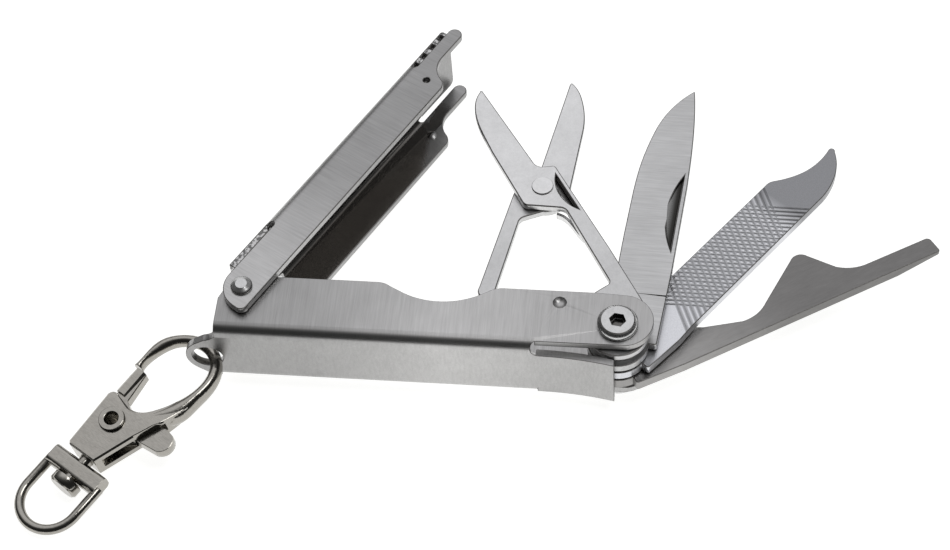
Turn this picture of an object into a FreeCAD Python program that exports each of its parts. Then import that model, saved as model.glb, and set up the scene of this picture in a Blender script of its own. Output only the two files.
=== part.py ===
import FreeCAD, Part
import math
import os

V = FreeCAD.Vector

# Driving dimensions, millimetres.  X runs along the closed tool, Y across it, Z up.
# The origin is the foot of the main pivot, which rests on the table.
SHEET = 1.2                # sheet metal of the frame and of the cover
BEND = 1.9                 # outside radius of the sheet's bends
FRAME_HEIGHT = 12.2        # outside height of the frame channel
FRAME_BOTTOM = 1.8         # underside of the frame above the table
FRAME_TOP = FRAME_BOTTOM + FRAME_HEIGHT
FRAME_LEFT = -59.2         # square end of the frame's side plates
WEB_OUTER = -4.75          # outside of the frame's back
WEB_INNER = WEB_OUTER + SHEET
OPEN_EDGE = 5.5            # edge of the side plates on the open side
NOSE_CENTRE = V(0.7, 0.8, 0)
NOSE_RADIUS = 4.5

COVER_PIVOT = V(-55.65, 2.5, 0)
COVER_ANGLE = 60.6         # how far the cover's axis is turned from +X at rest
COVER_GAP = 0.15           # between the cover's plates and the frame's
COVER_TOP = FRAME_TOP + COVER_GAP + SHEET
COVER_BOTTOM = FRAME_BOTTOM - COVER_GAP - SHEET
COVER_WEB_OUTER = 4.7
COVER_WEB_INNER = COVER_WEB_OUTER - SHEET

TANG = 4.5                 # radius of each tool's tang
TANG_BORE = 1.85           # turns on the pivot barrel
BARREL = 1.8
RUNNING_GAP = 0.05         # radial clearance of every running fit
BACK = -6.0                # back edge of each tool, in the tool's own frame

# Layers of the pivot stack, each as its lower and upper face.
OPENER_Z = (4.2, 6.1)
FILE_Z = (6.45, 8.05)
KNIFE_Z = (8.4, 9.85)
ARM_B_Z = (10.05, 11.25)
ARM_A_Z = (11.35, 12.55)

# Directions of the fanned-out tools at rest, degrees from +X.
OPENER_ANGLE = 31.8
FILE_ANGLE = 53.3
KNIFE_ANGLE = 84.8
SCISSORS_ANGLE = 121.9
SCISSORS_SPREAD = 40.0     # how far arm B is open from the closed position
SCISSORS_RIVET = V(28.9, -2.5, 0)

# The clasp lies in its own frame: X along it from hook to bail, Y across, Z out of its face.
CLASP_POINT = V(-61.15, -3.9, 6.45)
CLASP_HEADING = 236.0
CLASP_SLOPE = 8.2
CLASP_HALF = 2.2           # half the thickness of the clasp's body
GATE_HALF = 0.9            # half the thickness of the gate lever
EYELET = V(16.8, -3.2, 0)
STUD_AXIS = -3.0           # where the swivel stud lies across the clasp

# Frame details.
SLOT_END = -11.3           # centre of the round ends of the slots beside the leaf spring
UPPER_SLOT = (-4.66, 13.39, 1.18)     # Y, Z and radius of the round end, which runs at 45 degrees
LOWER_SLOT = (-4.29, 2.04, 0.6)
LEAF_LOW = 2.5
LEAF_HIGH = 11.8
LEAF_END = -0.2            # free end of the leaf, beside the main pivot
LEAF_LIFT = 1.1            # how far the tangs push the leaf's free end outwards
TAB_END_X = -64.0
LANYARD_HOLE = V(-60.7, 0, 7.1)
LANYARD_RADIUS = 2.35
DIMPLE = V(-8.7, 3.45, 0)
DIMPLE_RADIUS = 1.1
DIMPLE_DEPTH = 0.5

# Cover details, in the cover's own frame: X along it from its pivot.
COVER_EDGE = -2.8          # open edge of the cover's plates
TONGUE_TOP = 3.0           # upper edge of the tongue and of the pivot end
COVER_SLOT_LEFT = 11.6     # the web is bent on between these two slots
COVER_SLOT_RIGHT = 48.6
COVER_BUMP = V(47.0, 0.1, 0)
BUMP_RADIUS = 0.95
BUMP_HEIGHT = 0.4
STRIP_START = 2.7
TAB_END = 57.8
GRIP_NOTCHES = 4
GRIP_PITCH = 2.25

# Rivets and the main pivot's screw.
RIVET_SHANK = 1.0
RIVET_HEAD = 1.62
SCREW_HEAD = 2.97
SCREW_FACE = 2.55
SCREW_HEIGHT = 1.3
SCREW_SHANK = 1.2
HEX_FLATS = 2.05

# Clasp details.
EYELET_BARREL = 1.45
EYELET_BORE = 1.1
SPRING_OUTER = 2.3
STUD_NECK = 1.1
STUD_HEAD = 2.35
BAIL_WIRE = 0.78
BAIL_HALF_WIDTH = 4.75


def arc(middle, end):
    """An arc step of an outline: it passes through middle and stops at end."""
    return ("arc", middle, end)


def curve(*points):
    """A smooth step of an outline through the given points."""
    return ("curve", points)


def step_edges(here, step, z):
    """Edges of one outline step, and the point where it stops."""
    start = V(here[0], here[1], z)
    if step[0] == "arc":
        middle, end = V(*step[1], z), V(*step[2], z)
        return Part.Arc(start, middle, end).toShape(), step[2]
    if step[0] == "curve":
        spline = Part.BSplineCurve()
        spline.interpolate([start] + [V(x, y, z) for x, y in step[1]])
        return spline.toShape(), step[1][-1]
    return Part.makeLine(start, V(step[0], step[1], z)), step


def slab(outline, z_low, z_high):
    """A flat plate with the given outline in X and Y, between two heights."""
    first = outline[0]
    here = first
    edges = []
    for step in outline[1:]:
        edge, here = step_edges(here, step, z_low)
        edges.append(edge)
    if math.dist(here, first) > 1e-6:
        edges.append(Part.makeLine(V(*here, z_low), V(*first, z_low)))
    face = Part.Face(Part.Wire(edges))
    return face.extrude(V(0, 0, z_high - z_low))


def disc(radius, z_low, z_high, centre=V(0, 0, 0)):
    return Part.makeCylinder(radius, z_high - z_low, V(centre.x, centre.y, z_low))


def ring(outer, inner, z_low, z_high, centre=V(0, 0, 0)):
    return disc(outer, z_low, z_high, centre).cut(disc(inner, z_low - 1, z_high + 1, centre))


def block(low, high):
    return Part.makeBox(high[0] - low[0], high[1] - low[1], high[2] - low[2], V(*low))


def turned(shape, angle, centre=V(0, 0, 0)):
    """A copy turned about a vertical axis."""
    copy = shape.copy()
    copy.rotate(centre, V(0, 0, 1), angle)
    return copy


def rounded(shape, radius, wanted):
    """Fillet the edges that the test picks."""
    edges = [edge for edge in shape.Edges if wanted(edge)]
    return shape.makeFillet(radius, edges)


def level(edge, z):
    box = edge.BoundBox
    return abs(box.ZMin - z) < 1e-4 and abs(box.ZMax - z) < 1e-4


# ---------------------------------------------------------------- frame

def u_section(x_left, x_right, y_web, y_open, z_low, z_high, outward):
    """A bent U channel along X; outward is the sign of Y on which its back lies."""
    inner_y = y_web - outward * SHEET
    outer = block((x_left, min(y_web, y_open), z_low), (x_right, max(y_web, y_open), z_high))
    outer = rounded(outer, BEND, lambda e: along_x(e) and abs(e.CenterOfMass.y - y_web) < 1e-6)
    far_open = y_open - outward
    hollow = block((x_left - 1, min(inner_y, far_open), z_low + SHEET),
                   (x_right + 1, max(inner_y, far_open), z_high - SHEET))
    hollow = rounded(hollow, BEND - SHEET,
                     lambda e: along_x(e) and abs(e.CenterOfMass.y - inner_y) < 1e-6)
    return outer.cut(hollow)


def along_x(edge):
    return edge.BoundBox.YLength < 1e-4 and edge.BoundBox.ZLength < 1e-4


def frame_plate_outline(low_edge):
    """Side plate of the frame, with the round nose, the finger notch and the cover's end."""
    pivot_x, pivot_y = COVER_PIVOT.x, COVER_PIVOT.y
    end_radius = OPEN_EDGE - pivot_y
    corner = end_radius * math.sqrt(0.5)
    nose_x, nose_y = NOSE_CENTRE.x, NOSE_CENTRE.y
    low_angle = math.acos((nose_y - low_edge) / NOSE_RADIUS)
    nose_low_x = nose_x + NOSE_RADIUS * math.sin(low_angle)
    nose_high_y = nose_y + NOSE_RADIUS
    bend_start = WEB_OUTER + BEND
    return [
        (FRAME_LEFT, bend_start),
        (SLOT_END - 0.6, bend_start),
        (SLOT_END - 0.6, low_edge),
        (nose_low_x, low_edge),
        arc((nose_x + NOSE_RADIUS, nose_y), (nose_x, nose_high_y)),
        (-3.0, OPEN_EDGE),
        (-17.0, OPEN_EDGE),
        arc((-18.3, 5.3), (-19.4, 4.75)),
        (-20.6, 4.05),
        arc((-26.4, 2.55), (-31.8, 3.75)),
        (-33.9, 4.85),
        arc((-34.7, 5.3), (-35.7, OPEN_EDGE)),
        (pivot_x, OPEN_EDGE),
        arc((pivot_x - corner, pivot_y + corner), (pivot_x - end_radius, pivot_y)),
        (FRAME_LEFT, 1.2),
    ]


def frame_back():
    """The bent stretch of the back, with the round ends of the two spring slots."""
    back = u_section(FRAME_LEFT, SLOT_END, WEB_OUTER, 0, FRAME_BOTTOM, FRAME_TOP, -1)
    for (y, z, radius), rise in ((UPPER_SLOT, 1), (LOWER_SLOT, -1)):
        start = V(SLOT_END, y + 3, z - 3 * rise)
        back = back.cut(Part.makeCylinder(radius, 6, start, V(0, -1, rise)))
    return back


def leaf_spring():
    """The back's free end, a leaf that presses on the tangs."""
    root = SLOT_END - 0.3
    span = LEAF_END - SLOT_END
    half = SLOT_END + span / 2
    outline = [
        (root, WEB_OUTER),
        (SLOT_END, WEB_OUTER),
        arc((half, WEB_OUTER - 0.25 * LEAF_LIFT), (LEAF_END, WEB_OUTER - LEAF_LIFT)),
        (LEAF_END, WEB_INNER - LEAF_LIFT),
        arc((half, WEB_INNER - 0.25 * LEAF_LIFT), (SLOT_END, WEB_INNER)),
        (root, WEB_INNER),
    ]
    return slab(outline, LEAF_LOW, LEAF_HIGH)


def lanyard_tab():
    """The back's tapered left end with its hole for the clasp."""
    inset = FRAME_LEFT + 0.15
    outline = [
        (inset, 12.3),
        (FRAME_LEFT - 0.1, 12.2),
        arc((-60.0, 11.55), (-60.9, 11.2)),
        (-62.5, 10.1),
        arc((TAB_END_X, 7.0), (-62.6, 4.1)),
        (-60.8, 2.7),
        (inset, 2.4),
    ]
    tab = slab(outline, 0, SHEET)
    tab.rotate(V(0, 0, 0), V(1, 0, 0), 90)
    tab.translate(V(0, WEB_INNER, 0))
    return tab


def frame_channel():
    """One bent sheet: two side plates, the back, its leaf spring and the lanyard tab."""
    shape = frame_back()
    outline = frame_plate_outline(WEB_INNER - 0.05)
    for z in (FRAME_BOTTOM, FRAME_TOP - SHEET):
        shape = shape.fuse(slab(outline, z, z + SHEET))
    shape = shape.fuse(leaf_spring())
    shape = shape.fuse(lanyard_tab())
    hole_start = V(LANYARD_HOLE.x, WEB_OUTER - 1, LANYARD_HOLE.z)
    shape = shape.cut(Part.makeCylinder(LANYARD_RADIUS, 4, hole_start, V(0, 1, 0)))
    shape = shape.cut(disc(BARREL + RUNNING_GAP, 0, 20))
    shape = shape.cut(disc(RIVET_SHANK + RUNNING_GAP, 0, 20, COVER_PIVOT))
    for z, side in ((FRAME_TOP, 1), (FRAME_BOTTOM, -1)):
        shape = shape.cut(dimple(z, side))
    return shape.removeSplitter()


def dimple(z, side):
    """The spherical recess that the cover's bump snaps into."""
    ball = (DIMPLE_RADIUS ** 2 + DIMPLE_DEPTH ** 2) / (2 * DIMPLE_DEPTH)
    return Part.makeSphere(ball, V(DIMPLE.x, DIMPLE.y, z + side * (ball - DIMPLE_DEPTH)))


# ---------------------------------------------------------------- cover


def cover_plate_outline():
    """Side plate of the cover: round pivot end, snap tongue and head clearance."""
    return [
        (-2.2, COVER_EDGE),
        (46.4, COVER_EDGE),
        arc((47.75, -2.5), (48.35, -1.75)),
        arc((49.7, -0.05), (52.3, 0.7)),
        (56.7, 0.7),
        arc((58.15, 1.85), (57.0, TONGUE_TOP)),
        (COVER_SLOT_RIGHT, TONGUE_TOP),
        (COVER_SLOT_RIGHT, COVER_WEB_OUTER - BEND),
        (COVER_SLOT_LEFT, COVER_WEB_OUTER - BEND),
        (COVER_SLOT_LEFT, TONGUE_TOP),
        (0.9, TONGUE_TOP),
        arc((-2.2, 1.8), (-3.45, -1.3)),
        arc((-3.35, -2.3), (-2.2, COVER_EDGE)),
    ]


def cover_strip():
    """The web's free strip beside the pivot end."""
    low, high = COVER_BOTTOM + SHEET, COVER_TOP - SHEET
    return block((STRIP_START, COVER_WEB_INNER, low), (COVER_SLOT_LEFT + 0.5, COVER_WEB_OUTER, high))


def cover_tab():
    """The web's free tab at the tongue end, with grip notches in its upper edge."""
    low, high = COVER_BOTTOM + 1.3, COVER_TOP - 1.3
    tab = block((COVER_SLOT_RIGHT - 0.5, COVER_WEB_INNER, low), (TAB_END, COVER_WEB_OUTER, high))
    tab = rounded(tab, 1.0, lambda e: e.BoundBox.YLength > 0.5 and e.CenterOfMass.x > TAB_END - 0.1
                  and e.BoundBox.ZLength < 1e-4)
    for i in range(GRIP_NOTCHES):
        x = TAB_END - 1.7 - i * GRIP_PITCH
        tab = tab.cut(block((x - 0.5, COVER_WEB_INNER - 1, high - 0.8),
                            (x + 0.5, COVER_WEB_OUTER - 0.3, high + 1)))
    return tab


def cover_channel():
    """One bent sheet that straddles the frame and shuts over the folded tools."""
    web = u_section(COVER_SLOT_LEFT, COVER_SLOT_RIGHT, COVER_WEB_OUTER, 0,
                    COVER_BOTTOM, COVER_TOP, 1)
    shape = web.fuse(cover_strip()).fuse(cover_tab())
    outline = cover_plate_outline()
    for z in (COVER_BOTTOM, COVER_TOP - SHEET):
        shape = shape.fuse(slab(outline, z, z + SHEET))
    for x in (COVER_SLOT_LEFT, COVER_SLOT_RIGHT):
        shape = shape.cut(cover_slot_end(x))
    for inner_z, side in ((COVER_TOP - SHEET, -1), (COVER_BOTTOM + SHEET, 1)):
        shape = shape.fuse(bump(inner_z, side))
    for outer_z in (COVER_TOP, COVER_BOTTOM):
        shape = shape.cut(disc(0.53, outer_z - 0.9, outer_z + 0.9, COVER_BUMP))
    shape = shape.cut(disc(RIVET_SHANK + RUNNING_GAP, -1, 20))
    return placed_on_cover(shape.removeSplitter())


def cover_slot_end(x):
    """Round relief where a slot of the cover stops, through both plates."""
    relief = disc(0.55, COVER_TOP - 1.6, COVER_TOP + 1, V(x, TONGUE_TOP + 0.55, 0))
    lower = disc(0.55, COVER_BOTTOM - 1, COVER_BOTTOM + 1.6, V(x, TONGUE_TOP + 0.55, 0))
    return relief.fuse(lower)


def bump(z, side):
    """The raised dome on a plate's inside face that snaps into the frame's dimple."""
    ball = (BUMP_RADIUS ** 2 + BUMP_HEIGHT ** 2) / (2 * BUMP_HEIGHT)
    dome = Part.makeSphere(ball, V(COVER_BUMP.x, COVER_BUMP.y, z - side * (ball - BUMP_HEIGHT)))
    low, high = sorted((z - side * 0.1, z + side * 1.0))
    return dome.common(disc(2, low, high, COVER_BUMP))


def placed_on_cover(shape):
    moved = turned(shape, COVER_ANGLE)
    moved.translate(COVER_PIVOT)
    return moved


# ---------------------------------------------------------------- pivots


def cover_rivet():
    """Rivet of the cover: a domed head with a flattened top, and a flat lower head."""
    head_low, head_high = COVER_TOP, COVER_TOP + 0.8
    head = disc(RIVET_HEAD, head_low, head_high, COVER_PIVOT)
    head = head.makeChamfer(0.45, 0.75, [e for e in head.Edges if level(e, head_high)])
    foot = disc(RIVET_HEAD, 0, COVER_BOTTOM, COVER_PIVOT)
    shank = disc(RIVET_SHANK, 0, head_low, COVER_PIVOT)
    return head.fuse(foot).fuse(shank).removeSplitter()


def cover_sleeve():
    """Spacer that keeps the side plates apart at the cover's rivet."""
    return ring(1.9, RIVET_SHANK + RUNNING_GAP, FRAME_BOTTOM + SHEET, FRAME_TOP - SHEET, COVER_PIVOT)


def pivot_screw():
    """Cap screw of the main pivot with a hexagon socket."""
    low, high = FRAME_TOP, FRAME_TOP + SCREW_HEIGHT
    shoulder = low + 0.75
    head = disc(SCREW_HEAD, low, shoulder)
    head = head.fuse(Part.makeCone(SCREW_HEAD, SCREW_FACE, high - shoulder - 0.12, V(0, 0, shoulder)))
    head = head.fuse(disc(SCREW_FACE - 0.06, shoulder, high))
    head = head.fuse(disc(SCREW_SHANK, FRAME_BOTTOM + 1.5, low))
    corner = HEX_FLATS / math.sqrt(3)
    points = [(corner * math.cos(math.radians(a)), corner * math.sin(math.radians(a)))
              for a in range(-8, 352, 60)]
    return head.cut(slab(points, high - 1.15, high + 1)).removeSplitter()


def pivot_barrel():
    """Barrel nut of the main pivot; its flat head is a foot of the tool."""
    foot = disc(SCREW_HEAD, 0, FRAME_BOTTOM)
    foot = foot.makeChamfer(0.3, [e for e in foot.Edges if level(e, 0)])
    tube = disc(BARREL, 0.5, FRAME_TOP)
    return foot.fuse(tube).cut(disc(SCREW_SHANK + RUNNING_GAP, 1.0, 20)).removeSplitter()


def washers():
    """Spacers between the tangs: node name, lower face, upper face, radius."""
    floor, ceiling = FRAME_BOTTOM + SHEET, FRAME_TOP - SHEET
    return [
        ("washer_below_opener", floor, OPENER_Z[0], 3.5),
        ("washer_opener_file", OPENER_Z[1], FILE_Z[0], 3.5),
        ("washer_file_knife", FILE_Z[1], KNIFE_Z[0], 3.5),
        ("scissors_spacer", KNIFE_Z[1], ARM_A_Z[0], 3.3),
        ("scissors_washer", ARM_A_Z[1], ceiling, 3.3),
    ]


# ---------------------------------------------------------------- tools

def tang_steps():
    """The round tang, from the front edge round the pivot to its square kick."""
    start, middle, end = [(TANG * math.cos(math.radians(a)), TANG * math.sin(math.radians(a)))
                          for a in (62, 180, -88)]
    return start, middle, end


def tool(outline, layer, back_run):
    """A tool blade: its outline closed by the round tang, bored for the pivot."""
    start, middle, end = tang_steps()
    kick = [end, (end[0], -5.3), arc((end[0] + 0.1, -5.57), (end[0] + 0.35, -5.68))]
    steps = kick + [(back_run, BACK)] + outline + [start, arc(middle, end)]
    shape = slab(steps, *layer).cut(disc(TANG_BORE, 0, 20))
    return shape


def nail_nick(x_left, x_right, y_wall, sagitta, z_face, depth):
    """Crescent nick: an upright wall on the back side and a floor that rises from it."""
    middle = (x_left + x_right) / 2
    crescent = slab([(x_left, y_wall), (x_right, y_wall), arc((middle, y_wall + sagitta), (x_left, y_wall))],
                    z_face - depth, z_face + 0.5)
    ramp = Part.Face(Part.makePolygon([
        V(x_left, y_wall, z_face - depth), V(x_left, y_wall + sagitta, z_face),
        V(x_left, y_wall + sagitta, z_face + 0.5), V(x_left, y_wall, z_face + 0.5),
        V(x_left, y_wall, z_face - depth)]))
    return crescent.common(ramp.extrude(V(x_right - x_left, 0, 0)))


def knife():
    outline = [
        (30.0, BACK),
        curve((37.0, -5.75), (43.0, -5.3), (48.8, -4.5)),
        curve((46.4, -2.3), (42.6, -0.2), (38.3, 1.0), (33.8, 1.75), (27.0, 2.15), (20.0, 2.25)),
        (12.5, 2.25),
        (9.0, 2.9),
    ]
    shape = tool(outline, KNIFE_Z, 14.0)
    for face_z, edge_z in ((KNIFE_Z[1], KNIFE_Z[1] - 0.55), (KNIFE_Z[0], KNIFE_Z[0] + 0.55)):
        shape = shape.cut(grind(face_z, edge_z))
    shape = shape.cut(nail_nick(17.4, 31.8, -5.25, 1.65, KNIFE_Z[1] - 0.1, 0.75))
    return turned(shape, KNIFE_ANGLE)


def grind(face_z, edge_z):
    """Wedge of metal ground away between the blade's back and its edge."""
    outside = face_z + math.copysign(1.0, face_z - edge_z)
    profile = Part.Face(Part.makePolygon([
        V(9.0, BACK, face_z), V(9.0, 2.3, edge_z), V(9.0, 4.0, edge_z),
        V(9.0, 4.0, outside), V(9.0, BACK, outside), V(9.0, BACK, face_z)]))
    return profile.extrude(V(45, 0, 0))


def file():
    outline = [
        (10.0, -5.8),
        (41.5, -5.7),
        curve((45.0, -4.95), (47.9, -3.35), (49.5, -1.7)),
        arc((49.75, -0.95), (49.1, -0.75)),
        curve((46.4, -1.0), (43.5, -0.55), (41.1, 0.5), (39.2, 1.75)),
        curve((38.5, 2.2), (37.4, 2.35)),
        (12.5, 2.35),
        (9.0, 3.0),
    ]
    return turned(tool(outline, FILE_Z, 7.0), FILE_ANGLE)


def opener():
    outline = [
        (51.3, BACK - 0.1),
        arc((51.6, -6.0), (51.7, -5.75)),
        (51.55, -3.8),
        arc((51.25, -3.25), (50.7, -3.1)),
        (40.5, -2.95),
        arc((38.1, -2.35), (36.4, -1.2)),
        (33.7, 2.5),
        arc((32.5, 3.42), (31.0, 3.0)),
        (23.8, -2.0),
        arc((21.7, -3.1), (19.2, -3.3)),
        (13.5, -1.5),
        (8.0, 1.6),
    ]
    shape = tool(outline, OPENER_Z, 8.0).cut(tip_taper())
    return turned(shape, OPENER_ANGLE)


def tip_taper():
    """Wedge ground from under the opener's tip, which is also a flat screwdriver."""
    low = OPENER_Z[0]
    profile = Part.Face(Part.makePolygon([
        V(44.5, -9, low), V(53.0, -9, low + 1.25), V(53.0, -9, low - 1), V(44.5, -9, low - 1),
        V(44.5, -9, low)]))
    return profile.extrude(V(0, 9, 0))


def scissors_arm_a():
    """The arm that turns on the main pivot, in the upper layer."""
    outline = [
        (31.0, BACK),
        arc((31.55, -5.85), (31.8, -5.4)),
        (32.3, -4.2),
        arc((32.8, -3.65), (33.6, -3.4)),
        (50.1, -2.85),
        arc((50.35, -2.65), (50.2, -2.4)),
        curve((48.9, -1.0), (46.8, 0.1), (43.6, 0.85), (38.5, 1.3)),
        (27.8, 1.55),
        arc((27.1, 1.4), (26.6, 0.85)),
        (24.1, -2.9),
        arc((23.5, -3.45), (22.7, -3.6)),
        (8.7, -3.15),
        arc((8.1, -2.85), (7.95, -2.2)),
        (7.4, 1.4),
    ]
    shape = tool(outline, ARM_A_Z, 14.0)
    shape = shape.cut(disc(RIVET_SHANK + RUNNING_GAP, 0, 20, SCISSORS_RIVET))
    shape = shape.cut(nail_nick(22.5, 29.9, -5.3, 1.2, ARM_A_Z[1], 0.7))
    return turned(shape, SCISSORS_ANGLE)


def placed_on_rivet(shape):
    """Move an arm B shape from its rivet frame to the rest position."""
    moved = turned(shape, SCISSORS_ANGLE - SCISSORS_SPREAD)
    moved.translate(turned_point(SCISSORS_RIVET, SCISSORS_ANGLE))
    return moved


def turned_point(point, angle):
    c, s = math.cos(math.radians(angle)), math.sin(math.radians(angle))
    return V(c * point.x - s * point.y, s * point.x + c * point.y, point.z)


def scissors_arm_b():
    """The arm that turns on the scissors rivet, in the lower layer."""
    outline = [
        (21.95, 0.35),
        curve((20.8, -0.9), (18.6, -2.15), (16.0, -3.05), (12.5, -3.55)),
        (1.5, -4.0),
        arc((-2.4, -3.3), (-3.7, -0.9)),
        (-5.2, 1.6),
        arc((-5.7, 2.1), (-6.5, 2.3)),
        (-20.7, 2.85),
        arc((-21.5, 3.4), (-21.0, 4.5)),
        arc((-20.4, 5.2), (-19.4, 5.3)),
        (-1.6, 4.3),
        arc((1.8, 3.4), (4.6, 1.25)),
        (21.5, 0.55),
    ]
    shape = slab(outline, *ARM_B_Z)
    shape = shape.cut(disc(RIVET_SHANK + RUNNING_GAP, 0, 20))
    return placed_on_rivet(shape)


def scissors_rivet():
    """Rivet of the scissors with a low round head on top."""
    rivet = turned_point(SCISSORS_RIVET, SCISSORS_ANGLE)
    head = disc(1.65, ARM_A_Z[1], ARM_A_Z[1] + 0.2, rivet)
    head = head.makeChamfer(0.08, [e for e in head.Edges if level(e, ARM_A_Z[1] + 0.2)])
    return head.fuse(disc(RIVET_SHANK, ARM_B_Z[0], ARM_A_Z[1], rivet)).removeSplitter()


def scissors_spring():
    """Thin leaf beside arm A's handle that pushes the arms apart."""
    outline = [
        (12.5, -5.0),
        (17.0, -4.75),
        curve((20.5, -3.85), (22.8, -3.5), (24.25, -2.6)),
        (23.95, -2.3),
        curve((22.7, -3.08), (20.4, -3.4), (17.0, -4.35)),
        (12.5, -4.6),
    ]
    spring = slab(outline, ARM_B_Z[0] + 0.1, ARM_B_Z[1])
    anchor = disc(0.6, ARM_B_Z[0] + 0.1, ARM_A_Z[0], V(12.6, -4.8, 0))
    return turned(spring.fuse(anchor).removeSplitter(), SCISSORS_ANGLE)


# ---------------------------------------------------------------- clasp

def placed_on_clasp(shape):
    """Move a shape from the clasp's own frame to the rest position."""
    moved = shape.copy()
    moved.rotate(V(0, 0, 0), V(0, 1, 0), CLASP_SLOPE)
    moved.rotate(V(0, 0, 0), V(0, 0, 1), CLASP_HEADING)
    moved.translate(CLASP_POINT)
    return moved


def oval_section(x, y, heading, width, height):
    """An upright oval across the hook's centre line at one point."""
    along = math.radians(heading)
    centre = V(x, y, 0)
    across = V(-math.sin(along), math.cos(along), 0)
    oval = Part.Ellipse(centre + V(0, 0, height / 2), centre + across * (width / 2), centre)
    return Part.Wire([oval.toShape()])


HOOK_SECTIONS = [          # x, y, heading of the centre line, width, height
    (15.0, 0.0, 153, 3.0, 3.8),
    (11.2, 2.3, 155, 2.8, 3.7),
    (7.2, 3.75, 168, 2.3, 3.2),
    (3.6, 3.95, 190, 2.0, 2.8),
    (0.7, 2.7, 220, 1.9, 2.4),
    (-0.75, 0.4, 256, 1.8, 2.2),
    (-0.7, -2.3, 285, 1.8, 2.2),
    (0.9, -5.0, 316, 1.8, 2.3),
    (3.8, -6.6, 345, 1.8, 2.3),
    (7.7, -6.85, 364, 1.7, 2.3),
]


def clasp_hook():
    sections = [oval_section(*values) for values in HOOK_SECTIONS]
    return Part.makeLoft(sections, True, False)


def clasp_body():
    """The cast body of the clasp: hook, cheeks on both sides of the gate, and neck."""
    outline = [
        (23.4, -5.9),
        (22.9, -6.3),
        (14.2, -6.75),
        arc((13.2, -6.3), (13.2, -5.3)),
        (13.9, -2.6),
        arc((13.4, -0.6), (11.8, 0.9)),
        curve((9.8, 2.0), (6.8, 3.0)),
        (7.2, 4.6),
        curve((12.0, 3.35), (17.0, 1.35)),
        (23.4, -0.9),
    ]
    cheeks = slab(outline, -CLASP_HALF, CLASP_HALF)
    rim = [e for e in cheeks.Edges if level(e, CLASP_HALF) or level(e, -CLASP_HALF)]
    cheeks = cheeks.makeChamfer(0.25, rim)
    for side in (1, -1):
        cheeks = cheeks.cut(neck_taper(side))
    gap = GATE_HALF + 0.1
    slot = slab([(12.0, -9), (20.2, -9), (20.2, -1.6), (22.3, -0.8), (22.3, 5), (12.4, 5), (12.4, 1.0)],
                -gap, gap)
    shape = cheeks.fuse(clasp_hook()).cut(slot)
    shape = shape.cut(ring_bore(0.95 * 2, -4, 4))
    socket = Part.makeCylinder(STUD_NECK + RUNNING_GAP, 3, V(21.8, STUD_AXIS, 0), V(1, 0, 0))
    return placed_on_clasp(shape.cut(socket).removeSplitter())


def neck_taper(side):
    """Wedge that thins the cheeks down to the hook's own thickness along the neck."""
    profile = Part.Face(Part.makePolygon([
        V(14.0, -9, side * CLASP_HALF), V(6.0, -9, side * 0.9), V(6.0, -9, side * 4),
        V(14.0, -9, side * 4), V(14.0, -9, side * CLASP_HALF)]))
    return profile.extrude(V(0, 16, 0))


def ring_bore(radius, low, high):
    return disc(radius, low, high, EYELET)


def clasp_eyelet():
    """Hollow rivet that carries the gate, with a rolled rim on each face."""
    tube = disc(EYELET_BARREL, -CLASP_HALF - 0.3, CLASP_HALF + 0.3, EYELET)
    for low in (CLASP_HALF, -CLASP_HALF - 0.55):
        rim = disc(1.93, low, low + 0.55, EYELET)
        tube = tube.fuse(rim)
    return placed_on_clasp(tube.cut(disc(EYELET_BORE, 0.5 - CLASP_HALF, 5, EYELET)).removeSplitter())


def clasp_gate():
    """Gate lever: arm that shuts the hook, hub on the eyelet, and thumb tab."""
    outline = [
        (7.9, -6.75),
        (13.0, -6.3),
        (16.0, -6.0),
        arc((19.4, -4.6), (19.1, -1.4)),
        (17.0, 1.0),
        (16.6, 5.0),
        arc((14.9, 6.3), (13.2, 5.4)),
        (12.9, 3.8),
        (14.2, -0.6),
        (13.6, -2.9),
        (12.9, -4.0),
        (8.0, -4.7),
    ]
    lever = slab(outline, -GATE_HALF, GATE_HALF)
    arm = block((7.95, -6.75, -1.15), (12.6, -4.7, 1.15))
    arm = arm.makeChamfer(0.4, [e for e in arm.Edges if e.BoundBox.XLength > 4])
    lever = lever.fuse(arm).cut(ring_bore(EYELET_BARREL + RUNNING_GAP, -5, 5))
    return placed_on_clasp(lever.cut(ring_bore(SPRING_OUTER + 0.05, 0, 5)).removeSplitter())


def gate_spring():
    """Wound wire round the eyelet, sunk in the gate's hub, that holds the gate shut."""
    return placed_on_clasp(ring(SPRING_OUTER, EYELET_BARREL + 0.1, 0.05, GATE_HALF - 0.05, EYELET))


def swivel_stud():
    """Stud on which the bail turns: neck in the clasp's body and a round head."""
    centre = V(21.9, STUD_AXIS, 0)
    neck = Part.makeCylinder(STUD_NECK, 5.8, centre, V(1, 0, 0))
    head = Part.makeCylinder(STUD_HEAD, 1.6, V(27.35, STUD_AXIS, 0), V(1, 0, 0))
    head = head.makeChamfer(0.35, [e for e in head.Edges if e.CenterOfMass.x > 28.7 and e.Length > 10])
    return placed_on_clasp(neck.fuse(head).removeSplitter())


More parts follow.
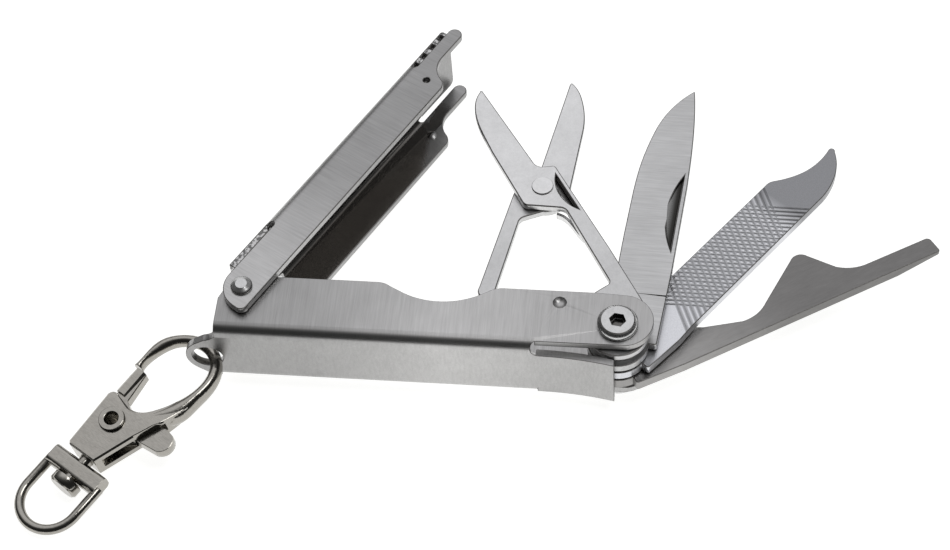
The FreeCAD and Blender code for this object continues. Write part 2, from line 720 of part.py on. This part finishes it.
def bail():
    """D-shaped bail: flat crossbar on the stud and a bent wire loop."""
    left, right = STUD_AXIS - BAIL_HALF_WIDTH, STUD_AXIS + BAIL_HALF_WIDTH
    bow = 35.95
    turn = bow - BAIL_HALF_WIDTH
    line_one = Part.makeLine(V(25.8, left, 0), V(turn, left, 0))
    bend = Part.Arc(V(turn, left, 0), V(bow, STUD_AXIS, 0), V(turn, right, 0)).toShape()
    line_two = Part.makeLine(V(turn, right, 0), V(25.8, right, 0))
    path = Part.Wire([line_one, bend, line_two])
    circle = Part.Wire([Part.makeCircle(BAIL_WIRE, V(25.8, left, 0), V(1, 0, 0))])
    loop = path.makePipeShell([circle], True, False)
    bar = block((24.0, left - 0.15, -1.25), (27.15, right + 0.15, 1.25))
    bar = rounded(bar, 0.8, lambda e: e.BoundBox.YLength > 5)
    shape = loop.fuse(bar)
    bore = Part.makeCylinder(STUD_NECK + RUNNING_GAP, 9, V(20, STUD_AXIS, 0), V(1, 0, 0))
    return placed_on_clasp(shape.cut(bore).removeSplitter())


# ---------------------------------------------------------------- output

def assembly():
    """Every node's name and solid, in the row's frame."""
    nodes = {
        "frame_channel": frame_channel(),
        "cover_channel": cover_channel(),
        "cover_rivet": cover_rivet(),
        "cover_sleeve": cover_sleeve(),
        "pivot_screw": pivot_screw(),
        "pivot_barrel": pivot_barrel(),
        "knife_blade": knife(),
        "file_blade": file(),
        "bottle_opener": opener(),
        "scissors_arm_a": scissors_arm_a(),
        "scissors_arm_b": scissors_arm_b(),
        "scissors_rivet": scissors_rivet(),
        "scissors_spring": scissors_spring(),
        "clasp_body": clasp_body(),
        "clasp_eyelet": clasp_eyelet(),
        "clasp_gate": clasp_gate(),
        "clasp_gate_spring": gate_spring(),
        "swivel_stud": swivel_stud(),
        "swivel_bail": bail(),
    }
    for name, low, high, radius in washers():
        nodes[name] = ring(radius, BARREL + RUNNING_GAP, low, high)
    return nodes


def main():
    os.makedirs("parts", exist_ok=True)
    nodes = assembly()
    box = Part.makeCompound(list(nodes.values())).optimalBoundingBox(False)
    shift = V(-box.Center.x, -box.Center.y, -box.ZMin)
    print("main pivot at", shift, "size", box.XLength, box.YLength, box.ZLength)
    for name, shape in nodes.items():
        shape.translate(shift)
        shape.exportStep("parts/" + name + ".step")
        print(f"{name:22s} solids {len(shape.Solids)} valid {shape.isValid()} volume {shape.Volume:8.2f}")


main()
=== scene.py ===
import bpy
import math
from mathutils import Matrix, Vector


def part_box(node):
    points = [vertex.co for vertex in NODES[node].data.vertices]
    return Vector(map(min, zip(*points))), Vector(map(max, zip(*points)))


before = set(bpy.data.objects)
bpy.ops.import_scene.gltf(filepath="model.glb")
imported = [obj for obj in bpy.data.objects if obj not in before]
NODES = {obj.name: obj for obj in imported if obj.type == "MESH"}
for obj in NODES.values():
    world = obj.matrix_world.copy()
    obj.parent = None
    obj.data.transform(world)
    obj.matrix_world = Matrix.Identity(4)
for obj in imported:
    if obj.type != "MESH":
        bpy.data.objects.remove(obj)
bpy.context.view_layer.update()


def centre(node):
    """Middle of a CAD node's box, in the row frame."""
    low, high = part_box(node)
    return (Vector(low) + Vector(high)) / 2


PIVOT = centre("pivot_barrel")
PIVOT.z = 0.0
COVER_PIVOT = centre("cover_rivet")
COVER_PIVOT.z = 0.0
CLASP_EYE = centre("clasp_eyelet")

MM = 0.001                         # one millimetre in the frame's metres

# How far each piece's own X axis is turned from the frame's, in degrees.
HEADINGS = {"frame_channel": 0.0, "cover_channel": 60.6, "bottle_opener": 31.8, "file_blade": 53.3,
            "knife_blade": 84.8, "scissors_arm_a": 121.9, "scissors_arm_b": 81.9}
CLASP_HEADING = 236.0
CLASP_TILT = 8.3

# Grain of the steel: noise frequency per millimetre along each axis of the piece.
ACROSS = (11.0, 0.22, 3.0)         # brushed across the piece
ALONG = (0.8, 6.0, 3.0)            # brushed along the piece
SPECKLED = (5.0, 5.0, 3.0)         # no direction on the flat faces
AROUND = (3.0, 3.0, 3.0)           # no direction at all
NOISE_ROUGHNESS = 0.6
BRUSH_RELIEF = 4e-6                # height of the brush lines, in metres
SHEARED_TONE_AND_SHADE = (0.44, 0.58, 0.35, 1.3)   # a sheared edge's rough tone, with painted shade of its groove walls in the dark patches: noise from and to, brightness from and to

# Width of each piece's broken edges, in metres, and how far apart points may be to be merged first.
EDGE = 8e-5
EDGES = {"cover_channel": 1.4e-4, "bottle_opener": 1.2e-4, "knife_blade": 1.4e-4,
         "scissors_arm_a": 1.6e-4, "scissors_arm_b": 1.6e-4, "file_blade": 1.2e-4,
         "clasp_body": 1e-4, "clasp_gate": 1.2e-4, "pivot_screw": 1e-4, "cover_rivet": 1e-4}
WELD = 1e-6
WELDS = {"frame_channel": 3e-4, "cover_channel": 3e-4, "clasp_gate": 2e-4, "clasp_body": 5e-5}
FLAT_ANGLE = 0.6                   # faces that meet at less than this many degrees are joined
CORNER_ANGLE = 50                  # edges sharper than this many degrees are broken

# Places on the pieces, in millimetres along their own axes. Z is the height above the table.
COVER_MIDDLE = 7.9                 # middle plane of the cover
COVER_INNER_HALF = 6.27            # from that plane to its plates' inner faces
COVER_BACK_FACE = 3.52             # inner face of its back
TONGUE_FADE = (52.0, 54.0)         # its painted inner shade ends gradually along its tongues
RIM_SLOPE = 0.55                   # and along a slanted line near its open edge
RIM_FADE = (24.6, 25.6)
RIM_TOP = 0.2
SHEARED_FACE = 3.3                 # the free strip and tab lie beyond this
SHEARED_EDGE = (13.2, 14.3)        # height of their upper edges
STRIP_END = 11.2
TAB_START = 49.2
SOCKET_DEPTHS = (14.05, 15.22)     # floor and mouth of the hexagon socket
SOCKET_REACH = 1.5                 # square of its radius
TOOL_BACK = 6.0                    # from a tool's axis to its back edge
KNIFE_NICK = (17.0, 32.2, -5.27, 1.8, 9.85, 0.066)   # the arguments of nick
ARM_NICK = (22.2, 30.2, -5.32, 1.4, 12.55, 0.0)
NICK_SHADE = (0.08, 0.5)           # painted shade darkens a nick between these depths
NICK_DEPTH = 0.9
FILE_FACE = 7.95                   # the teeth are cut in faces above this
FILE_CUTS = ((-0.627, 0.93, 11.9, 35.7), (0.722, 0.74, 10.1, 34.3))     # the arguments of file_cut
FILE_TIP = (32.5, 36.5)            # the blade darkens towards its plain tip
TOOTH_DEPTH = 1.1e-4               # in metres


# ---------------------------------------------------------------- materials

class Graph:
    """A metal's node tree, with short calls for the nodes used here."""

    def __init__(self, name, origin, heading, tilt=0.0):
        self.material = bpy.data.materials.new(name)
        self.material.use_nodes = True
        self.tree = self.material.node_tree
        self.shader = self.tree.nodes["Principled BSDF"]
        self.shader.inputs["Metallic"].default_value = 1.0
        place = self.node("ShaderNodeMapping", vector_type="TEXTURE")
        coords = self.node("ShaderNodeTexCoord")
        self.link(coords.outputs["Object"], place.inputs["Vector"])
        place.inputs["Location"].default_value = origin
        place.inputs["Rotation"].default_value = (0.0, math.radians(tilt), math.radians(heading))
        place.inputs["Scale"].default_value = (MM, MM, MM)
        self.local = place.outputs["Vector"]
        self.split = None

    def node(self, kind, **settings):
        made = self.tree.nodes.new(kind)
        for key, value in settings.items():
            setattr(made, key, value)
        return made

    def link(self, source, target):
        self.tree.links.new(source, target)

    def axis(self, name):
        """One coordinate of the piece's own frame, in millimetres."""
        if self.split is None:
            self.split = self.node("ShaderNodeSeparateXYZ")
            self.link(self.local, self.split.inputs[0])
        return self.split.outputs[name]

    def within(self, name, low, high):
        """1 where one coordinate lies between two values."""
        above = self.math("GREATER_THAN", self.axis(name), low)
        return self.math("MULTIPLY", above, self.math("LESS_THAN", self.axis(name), high))

    def math(self, operation, *values, clamp=False):
        made = self.node("ShaderNodeMath", operation=operation, use_clamp=clamp)
        for socket, value in zip(made.inputs, values):
            if isinstance(value, (int, float)):
                socket.default_value = value
            else:
                self.link(value, socket)
        return made.outputs[0]

    def noise(self, stretch, detail=3.0):
        """Noise whose frequency along each axis of the piece is given per millimetre."""
        scaled = self.node("ShaderNodeMapping")
        scaled.inputs["Scale"].default_value = stretch
        self.link(self.local, scaled.inputs["Vector"])
        made = self.node("ShaderNodeTexNoise")
        made.inputs["Scale"].default_value = 1.0
        made.inputs["Detail"].default_value = detail
        made.inputs["Roughness"].default_value = NOISE_ROUGHNESS
        self.link(scaled.outputs["Vector"], made.inputs["Vector"])
        return made.outputs["Fac"]

    def remap(self, value, low, high, to_low, to_high):
        made = self.node("ShaderNodeMapRange")
        self.link(value, made.inputs["Value"])
        for name, number in zip(("From Min", "From Max", "To Min", "To Max"),
                                (low, high, to_low, to_high)):
            made.inputs[name].default_value = number
        return made.outputs["Result"]

    def mix(self, factor, linked, plain):
        """From a linked colour to a plain one."""
        made = self.node("ShaderNodeMix", data_type="RGBA")
        colours = {socket.name: socket for socket in made.inputs if socket.type == "RGBA"}
        self.link(factor, made.inputs["Factor"])
        self.link(linked, colours["A"])
        colours["B"].default_value = plain
        return [socket for socket in made.outputs if socket.type == "RGBA"][0]

    def scale_colour(self, colour, factor):
        made = self.node("ShaderNodeVectorMath", operation="SCALE")
        made.inputs[0].default_value = colour[:3]
        self.link(factor, made.inputs["Scale"])
        return made.outputs["Vector"]

    def bump(self, height, distance, after=None):
        made = self.node("ShaderNodeBump")
        made.inputs["Strength"].default_value = 1.0
        made.inputs["Distance"].default_value = distance
        self.link(height, made.inputs["Height"])
        if after is not None:
            self.link(after, made.inputs["Normal"])
        return made.outputs["Normal"]


def brushed(name, tint, origin, heading, grain, rough=0.34, contrast=0.16,
            painted_shade_fades=(), painted_shade_mask=None, dark=0.1, broken=None):
    """Brushed steel: fine lines along the grain, soft clouds, and painted shade and painted light that
    change slowly along X.

    Each shade ramp along X is two places and the brightness at each. The shade mask marks an area
    painted dark as shade, and broken masks a sheared one, whose rough tone has painted shade in its dark
    patches.
    """
    g = Graph(name, origin, heading)
    fine = g.noise(grain)
    coarse = g.noise(tuple(v * 0.28 for v in grain), detail=2.0)
    cloud = g.noise((0.12, 0.12, 0.12), detail=2.0)
    lines = g.math("ADD", g.math("MULTIPLY", fine, 0.6), g.math("MULTIPLY", coarse, 0.4))
    shade = g.remap(lines, 0.3, 0.7, 1.0 - contrast, 1.0 + contrast * 0.6)
    soft = g.remap(cloud, 0.3, 0.7, 0.94, 1.04)
    tone_and_painted_shade = g.math("MULTIPLY", shade, soft)
    # painted shade and painted light: brightness ramps along X
    for painted_fade in painted_shade_fades:
        tone_and_painted_shade = g.math("MULTIPLY", tone_and_painted_shade, g.remap(g.axis("X"), *painted_fade))
    # a sheared edge: rough speckled tone, partly painted shade of its groove walls
    if broken:
        tone_and_shade_speckle = g.remap(g.noise((2.2, 2.2, 1.0), detail=1.0), *SHEARED_TONE_AND_SHADE)
        rough_cut = broken(g)
        kept = g.math("MULTIPLY", tone_and_painted_shade, g.math("SUBTRACT", 1.0, rough_cut))
        tone_and_painted_shade = g.math("ADD", kept, g.math("MULTIPLY", tone_and_shade_speckle, rough_cut))
    colour = g.scale_colour(tint, tone_and_painted_shade)
    gloss = g.remap(lines, 0.3, 0.7, rough + 0.07, rough - 0.06)
    # the masked area is painted dark as shade, and made smoother
    if painted_shade_mask:
        inside = painted_shade_mask(g)
        colour = g.mix(inside, colour, grey(dark, 0.04))
        gloss = g.math("MULTIPLY", gloss, g.remap(inside, 0.0, 1.0, 1.0, 0.5))
    g.link(colour, g.shader.inputs["Base Color"])
    g.link(gloss, g.shader.inputs["Roughness"])
    g.link(g.bump(lines, BRUSH_RELIEF), g.shader.inputs["Normal"])
    return g


def painted_shade_in_cover(g):
    """1 on the cover's inner faces, which are polished and painted dark as shade, fading out at its
    tongues.
    """
    height = g.math("ABSOLUTE", g.math("SUBTRACT", g.axis("Z"), COVER_MIDDLE))
    between = g.math("LESS_THAN", height, COVER_INNER_HALF)
    enclosed = g.math("MULTIPLY", between, g.math("LESS_THAN", g.axis("Y"), COVER_BACK_FACE))
    tongue = g.remap(g.axis("X"), *TONGUE_FADE, 1.0, 0.0)
    slanted = g.math("SUBTRACT", g.math("MULTIPLY", g.axis("X"), RIM_SLOPE), g.axis("Y"))
    rim = g.remap(slanted, *RIM_FADE, 1.0, 0.0)
    near = g.math("MAXIMUM", rim, g.math("GREATER_THAN", g.axis("Y"), RIM_TOP))
    return g.math("MULTIPLY", enclosed, g.math("MULTIPLY", tongue, near))


def sheared(g):
    """1 on the sheared upper edges of the cover's free strip and tab."""
    beyond = g.math("GREATER_THAN", g.axis("Y"), SHEARED_FACE)
    strip = g.math("LESS_THAN", g.axis("X"), STRIP_END)
    tab = g.math("GREATER_THAN", g.axis("X"), TAB_START)
    ends = g.math("MAXIMUM", strip, tab)
    return g.math("MULTIPLY", g.math("MULTIPLY", beyond, g.within("Z", *SHEARED_EDGE)), ends)


def socket(g):
    """1 inside the pivot screw's hexagon socket, which is painted dark as shade."""
    spread = g.math("ADD", g.math("POWER", g.axis("X"), 2.0), g.math("POWER", g.axis("Y"), 2.0))
    return g.math("MULTIPLY", g.math("LESS_THAN", spread, SOCKET_REACH), g.within("Z", *SOCKET_DEPTHS))


def grey(value, warmth=0.0):
    """A grey, made warmer by a little more red and less blue."""
    return (value * (1 + warmth), value, value * (1 - warmth), 1.0)


def dress(node, graph, edge_shade_material=None):
    """Give a CAD node its finish, and the small broken edges that real sheet parts have."""
    thing = NODES[node]
    thing.data.materials.clear()
    thing.data.materials.append(graph.material)
    if edge_shade_material:
        thing.data.materials.append(edge_shade_material)
    weld = thing.modifiers.new("weld", "WELD")
    weld.merge_threshold = WELDS.get(node, WELD)
    flat = thing.modifiers.new("flats", "DECIMATE")
    flat.decimate_type = "DISSOLVE"
    flat.angle_limit = math.radians(FLAT_ANGLE)
    edge = thing.modifiers.new("edges", "BEVEL")
    edge.width = EDGES.get(node, EDGE)
    edge.segments = 2
    edge.use_clamp_overlap = False
    edge.limit_method = "ANGLE"
    edge.angle_limit = math.radians(CORNER_ANGLE)
    edge.harden_normals = False
    # the bevel faces take the edge material, which is painted dark as shade
    edge.material = 1 if edge_shade_material else -1
    smooth = thing.modifiers.new("normals", "WEIGHTED_NORMAL")
    smooth.keep_sharp = True


def painted_edge_shade():
    """Edges rounded by tumbling: duller than the faces they join, and painted dark as shade."""
    g = Graph("tumbled edge", PIVOT, 0.0)
    grain = g.noise((4.0, 4.0, 4.0))
    colour = g.scale_colour(grey(0.14, 0.03), g.remap(grain, 0.3, 0.7, 0.75, 1.3))
    g.link(colour, g.shader.inputs["Base Color"])
    g.link(g.remap(grain, 0.3, 0.7, 0.38, 0.5), g.shader.inputs["Roughness"])
    g.link(g.bump(grain, 5e-6), g.shader.inputs["Normal"])
    return g.material


def file_cut(g, slope, pitch, first, last):
    """One set of slanted V grooves from first to last: 0 deep in a groove, and 1 where nothing is cut."""
    along = g.math("ADD", g.axis("X"), g.math("MULTIPLY", g.axis("Y"), slope))
    turns = g.math("FRACT", g.math("DIVIDE", along, pitch * math.hypot(1.0, slope)))
    ridge = g.math("MULTIPLY", g.math("ABSOLUTE", g.math("SUBTRACT", turns, 0.5)), 2.6, clamp=True)
    started = g.math("MULTIPLY", g.math("SUBTRACT", along, first), 5.0, clamp=True)
    ending = g.math("MULTIPLY", g.math("SUBTRACT", last, along), 5.0, clamp=True)
    here = g.math("MULTIPLY", started, ending)
    uncut = g.math("SUBTRACT", 1.0, here)
    return g.math("ADD", g.math("MULTIPLY", ridge, here), uncut)


def file_material():
    """Cross-cut teeth on a grey-blue blade whose tip and root are plain, with painted shade in the grooves.
    """
    g = Graph("file steel", PIVOT, HEADINGS["file_blade"])
    first, second = [file_cut(g, *cut) for cut in FILE_CUTS]
    top = g.math("GREATER_THAN", g.axis("Z"), FILE_FACE)
    teeth = g.math("MAXIMUM", g.math("MINIMUM", first, second), g.math("SUBTRACT", 1.0, top))
    speckle = g.noise(SPECKLED)
    plain = g.remap(speckle, 0.3, 0.7, 0.9, 1.08)
    # painted shade: the grooves are darker in colour, over a random speckle
    groove_shade_and_speckle = g.math("MULTIPLY", g.remap(teeth, 0.0, 1.0, 0.62, 1.12), plain)
    tip = g.remap(g.axis("X"), *FILE_TIP, 1.0, 0.4)
    colour = g.scale_colour((0.59, 0.595, 0.62, 1.0), g.math("MULTIPLY", groove_shade_and_speckle, tip))
    g.link(colour, g.shader.inputs["Base Color"])
    g.link(g.remap(speckle, 0.3, 0.7, 0.28, 0.36), g.shader.inputs["Roughness"])
    fine = g.bump(speckle, 3e-6)
    g.link(g.bump(teeth, TOOTH_DEPTH, after=fine), g.shader.inputs["Normal"])
    return g


def plated(name, tint, rough):
    """Nickel plate: polished, with faint ripples and handling marks."""
    g = Graph(name, CLASP_EYE, CLASP_HEADING, CLASP_TILT)
    ripple = g.noise((0.5, 0.5, 0.5), detail=2.0)
    marks = g.noise((7.0, 1.2, 4.0), detail=4.0)
    colour = g.scale_colour(tint, g.remap(marks, 0.35, 0.7, 1.03, 0.9))
    g.link(colour, g.shader.inputs["Base Color"])
    g.link(g.remap(marks, 0.3, 0.75, rough - 0.03, rough + 0.1), g.shader.inputs["Roughness"])
    g.link(g.bump(ripple, 6e-5), g.shader.inputs["Normal"])
    return g


def nick(left, right, wall, reach, face, slope):
    """1 inside a blade's nail nick, below the face, which falls away from the back by slope; there the nick
    is painted dark as shade.
    """
    def here(g):
        inside = g.math("MULTIPLY", g.within("X", left, right), g.within("Y", wall, wall + reach))
        surface = g.math("SUBTRACT", face - TOOL_BACK * slope, g.math("MULTIPLY", g.axis("Y"), slope))
        depth = g.math("SUBTRACT", surface, g.axis("Z"))
        sunk = g.remap(depth, *NICK_SHADE, 0.0, 1.0)
        return g.math("MULTIPLY", inside, g.math("MULTIPLY", sunk, g.math("LESS_THAN", depth, NICK_DEPTH)))
    return here


def dress_all():
    """A finish for every CAD node."""
    # dark colour of the rounded edges: painted shade
    edge = painted_edge_shade()
    # The brightness ramps along X given below are painted shade and painted light.
    dress("frame_channel", brushed("frame steel", grey(0.45, 0.008), PIVOT, HEADINGS["frame_channel"],
                                   ACROSS, painted_shade_fades=((-46.0, -26.0, 0.78, 1.16),
                                                  (-24.0, -8.0, 1.0, 0.84))), edge)
    # the cover's inner faces are painted dark as shade
    dress("cover_channel", brushed("cover steel", grey(0.44, 0.006), COVER_PIVOT, HEADINGS["cover_channel"],
                                   ACROSS, painted_shade_fades=((5.0, 26.0, 1.15, 0.75),), painted_shade_mask=painted_shade_in_cover,
                                   dark=0.27, broken=sheared), edge)
    dress("bottle_opener", brushed("opener steel", grey(0.188, 0.02), PIVOT, HEADINGS["bottle_opener"],
                                   ALONG, contrast=0.08, painted_shade_fades=((6.0, 26.0, 1.8, 1.0),)), edge)
    # the nail nicks of the knife and the scissors arms are painted dark as shade
    dress("knife_blade", brushed("knife steel", grey(0.53), PIVOT, HEADINGS["knife_blade"], ACROSS,
                                 painted_shade_mask=nick(*KNIFE_NICK)), edge)
    for arm in ("scissors_arm_a", "scissors_arm_b"):
        dress(arm, brushed(arm + " steel", grey(0.7), PIVOT, HEADINGS[arm], SPECKLED, contrast=0.08,
                           painted_shade_fades=((10.0, 32.0, 0.82, 1.0),), painted_shade_mask=nick(*ARM_NICK)), edge)
    dress("file_blade", file_material(), edge)
    # the hexagon socket is painted dark as shade
    satin = brushed("screw steel", grey(0.6), PIVOT, 0.0, AROUND, rough=0.28, contrast=0.1,
                    painted_shade_mask=socket, dark=0.12)
    for node in ("pivot_screw", "pivot_barrel", "cover_rivet"):
        dress(node, satin, edge)
    pale = brushed("scissors rivet steel", grey(0.76), PIVOT, 0.0, AROUND, contrast=0.06)
    for node in ("scissors_rivet", "scissors_spring"):
        dress(node, pale, edge)
    washer = brushed("washer steel", grey(0.6), PIVOT, 0.0, AROUND, rough=0.3)
    for node in NODES:
        if "washer" in node or node in ("scissors_spacer", "cover_sleeve"):
            dress(node, washer, edge)
    nickel = plated("clasp nickel", (0.37, 0.355, 0.325, 1.0), 0.15)
    for node in ("clasp_body", "clasp_gate", "clasp_eyelet", "clasp_gate_spring",
                 "swivel_stud", "swivel_bail"):
        dress(node, nickel)


# ---------------------------------------------------------------- studio

WINDOW = Vector((-0.1, 0.58, 0.81)).normalized()     # towards the window's middle
FLOOR_REACH = 3.0
KEY_PLACE = (0.25, 0.0, 0.8)
KEY_SIDE = 0.3
KEY_WATTS = 1.2

AZIMUTH, ELEVATION, ROLL = (math.radians(angle) for angle in (-9.775, 53.958, -5.104))
AIM = Vector((-0.021592, 0.007596, 0.014))           # from the main pivot
EYE_DISTANCE = 0.38398
FOCAL_LENGTH = 98.526                                # for a sensor 36 mm wide


def studio_floor():
    """A plain pale floor that gives off the studio's own soft light."""
    mesh = bpy.data.meshes.new("floor")
    corners = [(x * FLOOR_REACH, y * FLOOR_REACH, 0) for x, y in ((-1, -1), (1, -1), (1, 1), (-1, 1))]
    mesh.from_pydata(corners, [], [(0, 1, 2, 3)])
    floor = bpy.data.objects.new("floor", mesh)
    bpy.context.scene.collection.objects.link(floor)
    paper = bpy.data.materials.new("paper")
    paper.use_nodes = True
    shader = paper.node_tree.nodes["Principled BSDF"]
    shader.inputs["Base Color"].default_value = (0.5, 0.5, 0.5, 1)
    shader.inputs["Roughness"].default_value = 0.9
    shader.inputs["Specular IOR Level"].default_value = 0.1
    shader.inputs["Emission Color"].default_value = (1.0, 1.0, 0.99, 1)
    shader.inputs["Emission Strength"].default_value = 0.9
    mesh.materials.append(paper)


def surroundings():
    """A dim room with one broad pale window, high up beyond the object."""
    world = bpy.data.worlds.new("studio")
    world.use_nodes = True
    tree = world.node_tree
    background = tree.nodes["Background"]
    coords = tree.nodes.new("ShaderNodeTexCoord")
    toward = tree.nodes.new("ShaderNodeVectorMath")
    toward.operation = "DOT_PRODUCT"
    toward.inputs[1].default_value = WINDOW
    ramp = tree.nodes.new("ShaderNodeValToRGB")
    tree.links.new(coords.outputs["Generated"], toward.inputs[0])
    tree.links.new(toward.outputs["Value"], ramp.inputs["Fac"])
    tree.links.new(ramp.outputs["Color"], background.inputs["Color"])
    stops = ramp.color_ramp.elements
    stops[0].position, stops[0].color = 0.3, (0.03, 0.03, 0.03, 1)
    stops[1].position, stops[1].color = 0.93, (0.98, 0.98, 1.0, 1)
    for place, value in ((0.6, 0.09), (0.78, 0.38)):
        stops.new(place).color = (value, value, value, 1)
    background.inputs["Strength"].default_value = 1.0
    bpy.context.scene.world = world


def key_light():
    """A square softbox high on the right, aimed at the row frame's origin."""
    data = bpy.data.lights.new("key", "AREA")
    data.shape = "RECTANGLE"
    data.size = KEY_SIDE
    data.size_y = KEY_SIDE
    data.energy = KEY_WATTS
    lamp = bpy.data.objects.new("key", data)
    lamp.location = KEY_PLACE
    lamp.rotation_euler = (-Vector(KEY_PLACE)).to_track_quat("-Z", "Y").to_euler()
    bpy.context.scene.collection.objects.link(lamp)


def camera():
    """Seen from above the frame's back, a little from the right, turned five degrees."""
    forward = Vector((math.sin(AZIMUTH) * math.cos(ELEVATION),
                      math.cos(AZIMUTH) * math.cos(ELEVATION), -math.sin(ELEVATION)))
    side = Vector((math.cos(AZIMUTH), -math.sin(AZIMUTH), 0.0))
    up = side.cross(forward)
    right = side * math.cos(ROLL) + up * math.sin(ROLL)
    top = up * math.cos(ROLL) - side * math.sin(ROLL)
    data = bpy.data.cameras.new("camera")
    data.sensor_width = 36.0
    data.lens = FOCAL_LENGTH
    data.clip_start = 0.01
    eye = bpy.data.objects.new("camera", data)
    turn = Matrix((right, top, -forward)).transposed()
    eye.matrix_world = Matrix.Translation(PIVOT + AIM - forward * EYE_DISTANCE) @ turn.to_4x4()
    bpy.context.scene.collection.objects.link(eye)
    bpy.context.scene.camera = eye


dress_all()
studio_floor()
surroundings()
key_light()
camera()
bpy.context.scene.view_settings.view_transform = "Standard"
